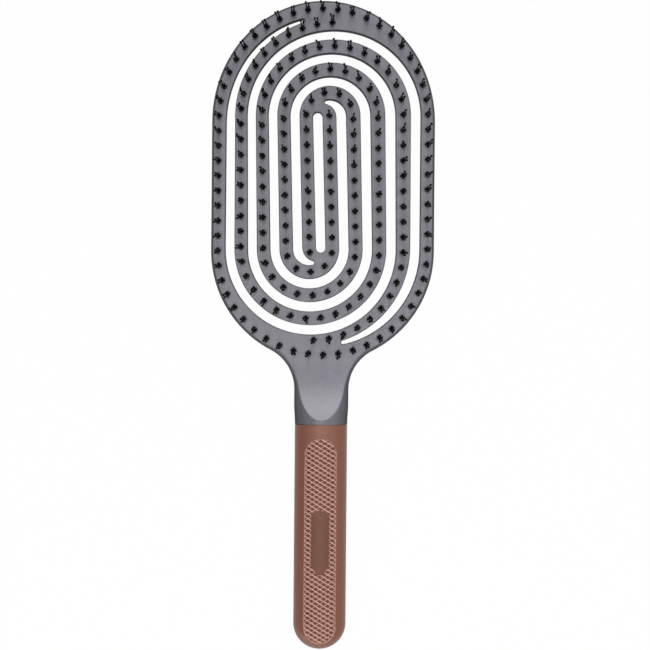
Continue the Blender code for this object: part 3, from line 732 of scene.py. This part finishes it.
def ring_sections():
    inset = RIM_WIDTH / 2
    width = HEAD_RADIUS - inset
    height = HEAD_TOP_RISE - inset - RING_TOP_DROP
    drop = width - RING_FOOT_RISE
    top = Vector((0, HEAD_TOP_CENTRE))
    foot = Vector((0, HEAD_FOOT_CENTRE))
    return [
        ("top_right", half_ellipse(top, width, height, 0, 90)),
        ("top_left", half_ellipse(top, width, height, 90, 180)),
        ("left", [Vector((-width, HEAD_TOP_CENTRE)), Vector((-width, HEAD_FOOT_CENTRE))]),
        ("bottom_left", half_ellipse(foot, width, drop, 180, 270)),
        ("bottom_right", half_ellipse(foot, width, drop, 270, 360)),
        ("right", [Vector((width, HEAD_FOOT_CENTRE)), Vector((width, HEAD_TOP_CENTRE))]),
    ]


def arm_sections(turned):
    """One arm's row, from the band beside the blind slot end to the core."""
    top = Vector((PITCH / 2, SPIRAL_REACH))
    foot = Vector((-PITCH / 2, -SPIRAL_REACH))
    band = arc(top, SLOTS_PER_SIDE * PITCH, FIRST_TUFT_ANGLE, 180)
    if turned:
        band = [ease_in(point, top, BLIND_ROW_EASE) for point in band]
    sections = [("band", band)]
    for turn in range(1, SLOTS_PER_SIDE):
        radius = (SLOTS_PER_SIDE - turn) * PITCH
        centre, start = (foot, 180) if turn % 2 == 1 else (top, 0)
        middle = start + 90
        first = arc(centre, radius, start, middle)
        last = arc(centre, radius, middle, middle + 90)
        sections.append((f"column_{turn}", [sections[-1][1][-1], first[0]]))
        if turn == SLOTS_PER_SIDE - 1:
            sections.append((f"turn_{turn}", first + last))
        else:
            sections.append((f"turn_{turn}_first", first))
            sections.append((f"turn_{turn}_last", last))
    core_end = top.copy()
    if turned:
        core_end += Vector((-CORE_ROW_SHIFT, CORE_ROW_RUN_ON))
    sections.append(("core", [sections[-1][1][-1], core_end]))
    if turned:
        sections = [(name, [-point for point in points]) for name, points in sections]
    return [(name, [settle(point) for point in points]) for name, points in sections]


class StrandSet:
    """Points and faces of many ball-tipped strands."""

    def __init__(self):
        self.points = []
        self.faces = []

    def add(self, foot, tip, bow, form):
        """A strand of this form from foot to tip, bowed sideways."""
        way = tip - foot
        across = way.to_track_quat("Z", "Y").to_matrix()
        radii = strand_radii(way.length, *form)
        base = len(self.points)
        for share, radius in radii:
            middle = foot + way * share + bow * math.sin(math.pi * min(1, share))
            for x, y in circle(STRAND_SIDES):
                self.points.append(middle + across @ Vector((x, y, 0)) * radius)
        end = len(self.points)
        self.faces += ring_faces(len(radii), STRAND_SIDES, base)
        self.faces.append(tuple(range(base, base + STRAND_SIDES))[::-1])
        self.faces.append(tuple(range(end - STRAND_SIDES, end)))


def strand_radii(length, radius, ball, stem_steps, ball_angles):
    """(share of the way, radius) pairs: a stem that narrows a little, then a ball with the tip."""
    ball_centre = length - ball
    pairs = []
    for i in range(stem_steps + 1):
        share = i / stem_steps
        thickness = radius * (STEM_FOOT_SHARE - STEM_TAPER_SHARE * share)
        pairs.append((ball_centre * STEM_REACH_SHARE * share / length, thickness))
    for angle in ball_angles:
        turn = math.radians(angle)
        level = ball_centre - ball * math.cos(turn)
        pairs.append((level / length, ball * math.sin(turn)))
    return pairs


def tuft_lean(place, dice):
    """How far a tuft's tips stand off its foot: fanned out from near the head's middle, and stray."""
    middle = Vector((FAN_SHIFT_ACROSS, SPIRAL_MIDDLE + FAN_SHIFT_ALONG))
    turn = dice.uniform(0, 2 * math.pi)
    stray = Vector((math.cos(turn), math.sin(turn))) * STRAY_LEAN * dice.random()
    return (place - middle) * FAN_SHARE + stray


def add_tuft(strands, place, way, dice, extra_dice):
    """Two long strands, leaning as in the solids, and four short ones round them."""
    lean = tuft_lean(place, dice)
    turned = Matrix.Rotation(extra_dice.uniform(-LONG_TURN, LONG_TURN), 2) @ way
    for side, share in ((1, 1), (-1, SHORT_STRAND_SHARE)):
        foot = place + turned * side * LONG_FOOT_REACH
        tip = place + lean * share + turned * side * LONG_TIP_REACH
        foot = Vector((foot.x, foot.y, PLATE_HALF - STRAND_ROOT))
        tip = Vector((tip.x, tip.y, PLATE_HALF + BRISTLE_HEIGHT * share))
        bow = Vector((extra_dice.uniform(-1, 1), extra_dice.uniform(-1, 1), 0)) * LONG_BOW
        strands.add(foot, tip, bow, LONG_STRAND)
    for i in range(SHORT_STRANDS):
        angle = 2 * math.pi * i / SHORT_STRANDS + extra_dice.uniform(-SHORT_TURN, SHORT_TURN)
        out = Vector((math.cos(angle), math.sin(angle), 0))
        centre = Vector((place.x, place.y, PLATE_HALF))
        height = SHORT_HEIGHT * extra_dice.uniform(SHORT_LOWEST_SHARE, SHORT_TALLEST_SHARE)
        foot = centre + out * SHORT_FOOT_REACH - Vector((0, 0, STRAND_ROOT))
        tip = centre + out * SHORT_TIP_REACH + Vector((0, 0, height))
        strands.add(foot, tip, Vector((0, 0, 0)), SHORT_STRAND)


def tuft_rows():
    """(label, row, pitch, runs of its tufts) of the ring and of both arms."""
    ring = Row(ring_sections())
    pitch = ring.length / RING_TUFTS
    rows = [("ring", ring, pitch, [(i + 0.5) * pitch for i in range(RING_TUFTS)])]
    for label, turned in (("arm_a", False), ("arm_b", True)):
        row = Row(arm_sections(turned))
        pitch = row.length / (ARM_TUFTS - 1)
        rows.append((label, row, pitch, [i * pitch for i in range(ARM_TUFTS)]))
    return rows


def make_tufts(rows, material):
    """One piece for each section of a row, as its solids have it."""
    dice = random.Random(LEAN_SEED)
    extra_dice = random.Random(LEAN_SEED + 1)
    for label, row, pitch, tuft_runs in rows:
        begin = -WELD_DISTANCE
        for name, end in row.ends:
            if name == row.ends[-1][0]:
                end += pitch
            strands = StrandSet()
            for run in tuft_runs:
                if begin <= run < end - WELD_DISTANCE:
                    place, way = row.at(run)
                    add_tuft(strands, place, way, dice, extra_dice)
            begin = end - WELD_DISTANCE
            mesh = bpy.data.meshes.new(f"tufts_{label}_{name}")
            mesh.from_pydata(strands.points, [], strands.faces)
            mesh.transform(LIFT)
            obj = dress(mesh.name, mesh, material, BRISTLE_SHARP_ANGLE)
            finish_piece(obj, [f"bristles_{label}_{name}"])


# Handle


def surface_height(x, y, inset):
    """Height of the handle's outside over the mid plane, set in by a depth."""
    radius = HANDLE_RADIUS - inset
    beyond = max(0, HANDLE_END_CENTRE - y)
    return flatness(inset) * math.sqrt(max(0, radius**2 - beyond**2 - x**2))


def outer_profile(inset, top_level):
    radius = HANDLE_RADIUS - inset
    angles = [math.pi / 2 * i / END_STEPS for i in range(END_STEPS + 1)]
    profile = [(radius * math.sin(a), HANDLE_END_CENTRE - radius * math.cos(a)) for a in angles]
    return profile + [(radius, top_level)]


def stadium_spread(spread, foot_spread):
    """The recess's outline drawn out, by more round its foot end than round its top end."""
    outline = arc(Vector((0, PANEL_HIGH)), PANEL_RADIUS, 0, 180)
    outline += arc(Vector((0, PANEL_LOW)), PANEL_RADIUS, 180, 360)
    loop = []
    for point in outline:
        centre = Vector((0, min(PANEL_HIGH, max(PANEL_LOW, point.y))))
        out = (point - centre).normalized()
        footward = smooth_step(-out.y)
        loop.append(point + out * (spread + (foot_spread - spread) * footward))
    return loop


def recess_cutter():
    """The panel's recess, with a fine broken edge that widens to a bevel round its foot."""
    rings = [[(point.x, point.y, 0) for point in stadium_spread(0, 0)]]
    for spread, foot_spread, rise, foot_rise in RECESS_EDGE:
        ring = []
        for point in stadium_spread(spread, foot_spread):
            footward = smooth_step((PANEL_LOW - point.y) / PANEL_RADIUS)
            height = surface_height(point.x, point.y, 0) + rise + (foot_rise - rise) * footward
            ring.append((point.x, point.y, max(0, height)))
        rings.append(ring)
    top = HANDLE_HALF + CUT_OVERRUN
    mouth = stadium_spread(RECESS_TOP_SPREAD, RECESS_TOP_FOOT_SPREAD)
    rings.append([(point.x, point.y, top) for point in mouth])
    cutter = stack("recess", rings)
    core_profile = outer_profile(RECESS_DEPTH, JOINT_LEVEL)
    core = oval_lathe("core", core_profile + [(0, JOINT_LEVEL)], flatness(RECESS_DEPTH))
    return cut("recess", cutter, [core])


def make_sleeve(material):
    edge = SLEEVE_EDGE_ROUND
    rim = JOINT_LEVEL - JOINT_GAP
    inner = HANDLE_RADIUS - edge
    profile = outer_profile(0, rim - edge)
    for i in range(1, SLEEVE_EDGE_STEPS + 1):
        angle = math.pi / 2 * i / SLEEVE_EDGE_STEPS
        profile.append((inner + edge * math.cos(angle), rim - edge + edge * math.sin(angle)))
    bore_end = JOINT_LEVEL - TANG_LENGTH - TANG_END_GAP
    profile += [(BORE_RADIUS, rim), (BORE_RADIUS, bore_end), (0, bore_end)]
    body = oval_lathe("sleeve_body", profile, flatness(0))
    mesh = cut("copper_sleeve", body, [recess_cutter()])
    mesh.transform(LIFT)
    obj = dress("copper_sleeve", mesh, material)
    even_faces(obj)
    finish_piece(obj, ["handle_sleeve"])


def plaque_share(x, y):
    """1 on the bare plaque, 0 off it, with a short ramp between."""
    middle = PANEL_FOOT + PANEL_LENGTH / 2 - PLAQUE_SETTLE
    top = middle + PLAQUE_LENGTH / 2
    foot = middle - PLAQUE_LENGTH / 2
    side = PLAQUE_WIDTH / 2
    inside = min(side - abs(x), top - y, y - foot)
    top_corner = (top - y + side - abs(x) - PLAQUE_TOP_CUT) / math.sqrt(2)
    slope = (side - PLAQUE_FOOT_WIDTH / 2) / PLAQUE_FOOT_CUT
    foot_corner = (PLAQUE_FOOT_WIDTH / 2 + (y - foot) * slope - abs(x)) / math.sqrt(1 + slope**2)
    inside = min(inside, top_corner, foot_corner)
    return smooth_step(inside / PLAQUE_RAMP + 0.5)


def pit_share(x, y):
    """0 on the net of ribs, 1 in the middle of a pit. The pits are staggered, leaning diamonds."""
    across = x / PIT_ACROSS
    along = y / PIT_ALONG
    nearest = 1
    for shift in (0, 0.5):
        u = (across + shift) - round(across + shift)
        v = (along + shift) - round(along + shift)
        nearest = min(nearest, abs(u) + abs(v + PIT_SLANT * u))
    return smooth_step((0.5 - nearest - RIB_SHARE) / RIB_SLOPE)


def panel_front():
    """Points of the inlay's face, row by row from its foot, with a value for each of them.

    The value is 0 on a rib and 1 in a pit or on the plaque.
    """
    points = []
    depths = []
    for j in range(PANEL_ROWS + 1):
        y = PANEL_LOW - INLAY_RADIUS + INLAY_LENGTH * j / PANEL_ROWS
        beyond = max(0, y - PANEL_HIGH, PANEL_LOW - y)
        half = math.sqrt(max(0, INLAY_RADIUS**2 - beyond**2))
        for i in range(PANEL_COLUMNS + 1):
            x = half * (2 * i / PANEL_COLUMNS - 1)
            border = INLAY_RADIUS - math.hypot(x, beyond)
            bare = plaque_share(x, y)
            pit = pit_share(x, y) * smooth_step(border / PIT_BORDER)
            deep = bare * PLAQUE_DEPTH + (1 - bare) * pit * PIT_DEPTH
            edge = PANEL_EDGE_DROP * max(0, 1 - border / PANEL_EDGE_ROUND) ** 2
            z = surface_height(x, y, PANEL_DROP) - deep - edge
            points.append((x, y, z))
            depths.append(max(bare, (1 - bare) * pit))
    return points, depths


def panel_back(front):
    """Points of the inlay's back, row by row behind those of its front."""
    points = []
    for first in range(0, len(front), PANEL_COLUMNS + 1):
        left = front[first]
        right = front[first + PANEL_COLUMNS]
        for i in range(PANEL_BACK_COLUMNS + 1):
            x = left[0] + (right[0] - left[0]) * i / PANEL_BACK_COLUMNS
            z = surface_height(x, left[1], RECESS_DEPTH - SEAT_GAP)
            points.append((x, left[1], min(z, left[2] - PANEL_LEAST_THICKNESS)))
    return points


def panel_faces(front):
    """Faces of the inlay's front, its back and its sides. The back's points start after the front's."""
    columns = PANEL_COLUMNS + 1
    across = PANEL_BACK_COLUMNS + 1
    faces = []
    for j in range(PANEL_ROWS):
        for i in range(PANEL_COLUMNS):
            near = j * columns + i
            faces.append((near, near + 1, near + columns + 1, near + columns))
    for j in range(PANEL_ROWS):
        for i in range(PANEL_BACK_COLUMNS):
            near = front + j * across + i
            faces.append((near, near + across, near + across + 1, near + 1))
        for column, back_column in ((0, 0), (PANEL_COLUMNS, PANEL_BACK_COLUMNS)):
            a = j * columns + column
            b = front + j * across + back_column
            faces.append((a, a + columns, b + across, b))
    return faces


def make_panel(material):
    """The inlay: a net of fine ribs over diamond pits, a bare plaque, and a rounded border."""
    front, depths = panel_front()
    back = panel_back(front)
    mesh = bpy.data.meshes.new("grip_inlay")
    mesh.from_pydata(front + back, [], panel_faces(len(front)))
    # The material paints shade in the pits from this value, and colours the plaque with it
    store(mesh, "pit_depth", depths + [1] * len(back))
    mesh.transform(LIFT)
    weld(mesh)
    obj = dress("grip_inlay", mesh, material, PANEL_SHARP_ANGLE)
    finish_piece(obj, ["grip_panel"])


# Materials


class Surface:
    """A Principled material with a few shorthands for its nodes."""

    def __init__(self, name, roughness, metallic=0.0, specular=0.5, sheen=0.0):
        self.material = bpy.data.materials.new(name)
        self.material.use_nodes = True
        self.nodes = self.material.node_tree.nodes
        self.links = self.material.node_tree.links
        self.shader = self.nodes["Principled BSDF"]
        self.shader.inputs["Roughness"].default_value = roughness
        self.shader.inputs["Metallic"].default_value = metallic
        self.shader.inputs["Specular IOR Level"].default_value = specular
        self.shader.inputs["Sheen Weight"].default_value = sheen
        self.shader.inputs["Sheen Roughness"].default_value = SHEEN_ROUGHNESS
        self.coordinates = self.nodes.new("ShaderNodeTexCoord").outputs

    def stored(self, name):
        """A value that the mesh keeps at each of its points."""
        value = self.nodes.new("ShaderNodeAttribute")
        value.attribute_name = name
        return value.outputs["Fac"]

    def noise(self, scale, detail, stretch=(1, 1, 1)):
        mapping = self.nodes.new("ShaderNodeMapping")
        mapping.inputs["Scale"].default_value = stretch
        self.links.new(self.coordinates["Object"], mapping.inputs["Vector"])
        noise = self.nodes.new("ShaderNodeTexNoise")
        noise.inputs["Scale"].default_value = scale
        noise.inputs["Detail"].default_value = detail
        self.links.new(mapping.outputs["Vector"], noise.inputs["Vector"])
        return noise.outputs["Fac"]

    def ramp(self, value, stops):
        ramp = self.nodes.new("ShaderNodeValToRGB")
        elements = ramp.color_ramp.elements
        while len(elements) < len(stops):
            elements.new(0.5)
        for element, (position, colour) in zip(elements, stops):
            element.position = position
            element.color = colour
        self.links.new(value, ramp.inputs["Fac"])
        return ramp.outputs["Color"]

    def upward(self, low, high):
        """0 where the surface turns sideways, 1 where it faces up or down, in the piece's own axes."""
        parts = self.nodes.new("ShaderNodeSeparateXYZ")
        self.links.new(self.coordinates["Normal"], parts.inputs["Vector"])
        size = self.nodes.new("ShaderNodeMath")
        size.operation = "ABSOLUTE"
        self.links.new(parts.outputs["Z"], size.inputs[0])
        scaled = self.nodes.new("ShaderNodeMapRange")
        scaled.interpolation_type = "SMOOTHSTEP"
        scaled.inputs["From Min"].default_value = low
        scaled.inputs["From Max"].default_value = high
        self.links.new(size.outputs["Value"], scaled.inputs["Value"])
        return scaled.outputs["Result"]

    def spread(self, value, low, high):
        """Maps a value from 0..1 to low..high."""
        scaled = self.nodes.new("ShaderNodeMapRange")
        scaled.inputs["To Min"].default_value = low
        scaled.inputs["To Max"].default_value = high
        self.links.new(value, scaled.inputs["Value"])
        return scaled.outputs["Result"]

    def larger(self, first, second):
        pick = self.nodes.new("ShaderNodeMath")
        pick.operation = "MAXIMUM"
        self.links.new(first, pick.inputs[0])
        self.links.new(second, pick.inputs[1])
        return pick.outputs["Value"]

    def mix(self, kind, factor, first, second):
        mix = self.nodes.new("ShaderNodeMix")
        mix.data_type = "RGBA"
        mix.blend_type = kind
        if isinstance(factor, float):
            mix.inputs["Factor"].default_value = factor
        else:
            self.links.new(factor, mix.inputs["Factor"])
        for socket, value in (("A", first), ("B", second)):
            found = [s for s in mix.inputs if s.name == socket and s.type == "RGBA"][0]
            if isinstance(value, tuple):
                found.default_value = value
            else:
                self.links.new(value, found)
        return [s for s in mix.outputs if s.type == "RGBA"][0]

    def bump(self, height, distance, strength, below=None):
        bump = self.nodes.new("ShaderNodeBump")
        bump.inputs["Distance"].default_value = distance
        bump.inputs["Strength"].default_value = strength
        self.links.new(height, bump.inputs["Height"])
        if below:
            self.links.new(below, bump.inputs["Normal"])
        return bump.outputs["Normal"]

    def fleck(self, colour, noise, contrast, share):
        """The colour with paler and darker flecks where the noise is high and low."""
        tones = [(0.35, grey(0.5 - contrast)), (0.65, grey(0.5 + contrast))]
        return self.mix("OVERLAY", share, colour, self.ramp(noise, tones))

    def use(self, socket, value):
        self.links.new(value, self.shader.inputs[socket])


def grey(level, warmth=0.0, coolness=0.0):
    return (level * (1 + warmth), level, level * (1 + coolness), 1.0)


def frame_material():
    """Satin grey moulded plastic, matt on its edges and in its slots, with painted shade there and on its
    collar.
    """
    surface = Surface("frame_plastic", 0.33)
    cloud = surface.noise(45, 4.0)
    darker = grey(FRAME_DARKER, FRAME_WARMTH, FRAME_COOLNESS)
    paler = grey(FRAME_PALER, FRAME_WARMTH, FRAME_COOLNESS)
    colour = surface.ramp(cloud, [(0.3, darker), (0.7, paler)])
    rub = surface.noise(260, 5.0)
    scuffs = surface.ramp(rub, [(0.62, (0, 0, 0, 1)), (0.78, (1, 1, 1, 1))])
    worn = surface.spread(scuffs, 0.0, 0.10)
    colour = surface.mix("MIX", worn, colour, grey(SCUFF_GREY, 0.0, 0.10))
    colour = surface.fleck(colour, surface.noise(2300, 2.0), 0.12, 0.55)
    # Painted shade on sideways faces, deepest on the slot walls inside the rim
    tones = [(0.0, grey(EDGE_PAINTED_SHADE)), (1.0, grey(SLOT_WALL_PAINTED_SHADE))]
    wall = surface.ramp(surface.stored("slot_wall_shade_mask"), tones)
    # Painted shade on the collar
    collar = surface.ramp(surface.stored("collar"), [(0.0, grey(1.0)), (1.0, grey(COLLAR_PAINTED_SHADE))])
    colour = surface.mix("MULTIPLY", 1.0, colour, collar)
    edges = surface.mix("MULTIPLY", 1.0, colour, wall)
    # Sideways faces take the painted shade; faces turned up or down keep the plain colour
    facing = surface.upward(0.40, 0.95)
    surface.use("Base Color", surface.mix("MIX", facing, edges, colour))
    grain = surface.noise(4200, 2.0)
    surface.use("Normal", surface.bump(grain, 0.00004, 0.35))
    matt = surface.spread(facing, 0.85, 0.20)
    surface.use("Roughness", surface.larger(matt, surface.spread(rub, 0.30, 0.37)))
    return surface.material


def bristle_material():
    """Black nylon, a little glossy, with faint dust."""
    surface = Surface("bristle_nylon", 0.55, specular=0.1)
    cloud = surface.noise(700, 3.0)
    colour = surface.ramp(cloud, [(0.35, grey(0.0015)), (0.75, grey(0.004))])
    surface.use("Base Color", colour)
    surface.use("Roughness", surface.spread(cloud, 0.48, 0.62))
    return surface.material


def copper_material():
    """Satin rose-copper lacquer with fine metal flakes and a few hairline rubs."""
    surface = Surface("copper_lacquer", 0.46, 0.12, sheen=0.12)
    cloud = surface.noise(38, 3.0, (1, 0.35, 1))
    colour = surface.ramp(cloud, [(0.3, COPPER_DARKER), (0.7, COPPER_PALER)])
    flakes = surface.noise(5200, 2.0)
    surface.use("Base Color", surface.fleck(colour, flakes, 0.25, 0.18))
    hairlines = surface.noise(900, 4.0, (1, 0.06, 1))
    lower = surface.bump(hairlines, 0.00003, 0.25)
    surface.use("Normal", surface.bump(flakes, 0.00003, 0.25, lower))
    surface.use("Roughness", surface.spread(hairlines, 0.40, 0.54))
    return surface.material


def panel_material():
    """The inlay's lacquer: paler on the ribs, with painted shade in the pits, and darker on the bare
    plaque.
    """
    surface = Surface("inlay_lacquer", 0.52, 0.15)
    # Painted shade: darker down the pits' slopes and in their hollows
    stops = [(0.0, INLAY_RIB), (0.5, INLAY_SLOPE_PAINTED_SHADE), (1.0, INLAY_PIT_SHADE_AND_PLAQUE)]
    colour = surface.ramp(surface.stored("pit_depth"), stops)
    flakes = surface.noise(4800, 2.0)
    surface.use("Base Color", surface.fleck(colour, flakes, 0.2, 0.15))
    surface.use("Normal", surface.bump(flakes, 0.00003, 0.25))
    surface.use("Roughness", surface.spread(surface.noise(800, 3.0), 0.46, 0.58))
    return surface.material


# Stage


def seen_directly(surface):
    """1 for what the camera sees, also in a reflection or through glass, and 0 for other light."""
    path = surface.nodes.new("ShaderNodeLightPath").outputs
    share = surface.larger(path["Is Camera Ray"], path["Is Glossy Ray"])
    return surface.larger(share, path["Is Transmission Ray"])


def make_floor():
    """A pale floor that is white to the camera but keeps a soft shadow."""
    mesh = bpy.data.meshes.new("floor")
    size = FLOOR_HALF
    corners = [(-size, -size, 0), (size, -size, 0), (size, size, 0), (-size, size, 0)]
    mesh.from_pydata(corners, [], [(0, 1, 2, 3)])
    surface = Surface("floor_paper", FLOOR_ROUGHNESS, specular=0.0)
    surface.shader.inputs["Base Color"].default_value = (*FLOOR_COLOUR, 1)
    glow = surface.nodes.new("ShaderNodeEmission")
    blend = surface.nodes.new("ShaderNodeMixShader")
    share = surface.spread(seen_directly(surface), 0.0, FLOOR_WHITE_SHARE)
    surface.links.new(share, blend.inputs["Fac"])
    surface.links.new(surface.shader.outputs["BSDF"], blend.inputs[1])
    surface.links.new(glow.outputs["Emission"], blend.inputs[2])
    output = surface.nodes["Material Output"]
    surface.links.new(blend.outputs["Shader"], output.inputs["Surface"])
    mesh.materials.append(surface.material)
    add_object("floor", mesh)


def make_world():
    """Soft white light from all round, weaker from the left."""
    world = bpy.data.worlds.new("studio")
    bpy.context.scene.world = world
    world.use_nodes = True
    nodes = world.node_tree.nodes
    links = world.node_tree.links
    background = nodes["Background"]
    background.inputs["Color"].default_value = (1, 1, 1, 1)
    way = nodes.new("ShaderNodeTexCoord")
    parts = nodes.new("ShaderNodeSeparateXYZ")
    links.new(way.outputs["Generated"], parts.inputs["Vector"])
    scaled = nodes.new("ShaderNodeMapRange")
    scaled.inputs["From Min"].default_value = WORLD_LEFT_END
    scaled.inputs["From Max"].default_value = WORLD_RIGHT_END
    scaled.inputs["To Min"].default_value = WORLD_LEFT
    scaled.inputs["To Max"].default_value = WORLD_RIGHT
    links.new(parts.outputs["X"], scaled.inputs["Value"])
    links.new(scaled.outputs["Result"], background.inputs["Strength"])


def make_lamps():
    """The lamps, each aimed at the frame's origin, which is under the middle of the brush."""
    for name, place, size, watts in LAMPS:
        light = bpy.data.lights.new(name, "AREA")
        light.shape = "RECTANGLE"
        light.size, light.size_y = size
        light.energy = watts
        lamp = add_object(name, light)
        lamp.location = place
        lamp.rotation_euler = Vector(place).to_track_quat("Z", "Y").to_euler()
        lamp.visible_camera = False


def make_camera():
    """The view straight down on the bristles. Its scale holds at the camera's level."""
    data = bpy.data.cameras.new("camera")
    data.sensor_width = SENSOR_WIDTH
    data.lens = SENSOR_WIDTH * CAMERA_DISTANCE / (PICTURE_SIZE * METRES_PER_PIXEL)
    data.clip_start = CAMERA_CLIP
    camera = add_object("camera", data)
    camera.location = (CAMERA_ACROSS, CAMERA_ALONG, CAMERA_LEVEL + CAMERA_DISTANCE)
    camera.rotation_euler = (0, 0, CAMERA_ROLL)
    bpy.context.scene.camera = camera


def main():
    make_camera()
    rows = tuft_rows()
    make_frame(rows, frame_material())
    make_tufts(rows, bristle_material())
    make_sleeve(copper_material())
    make_panel(panel_material())
    make_floor()
    make_world()
    make_lamps()
    bpy.context.scene.view_settings.view_transform = "Standard"


main()
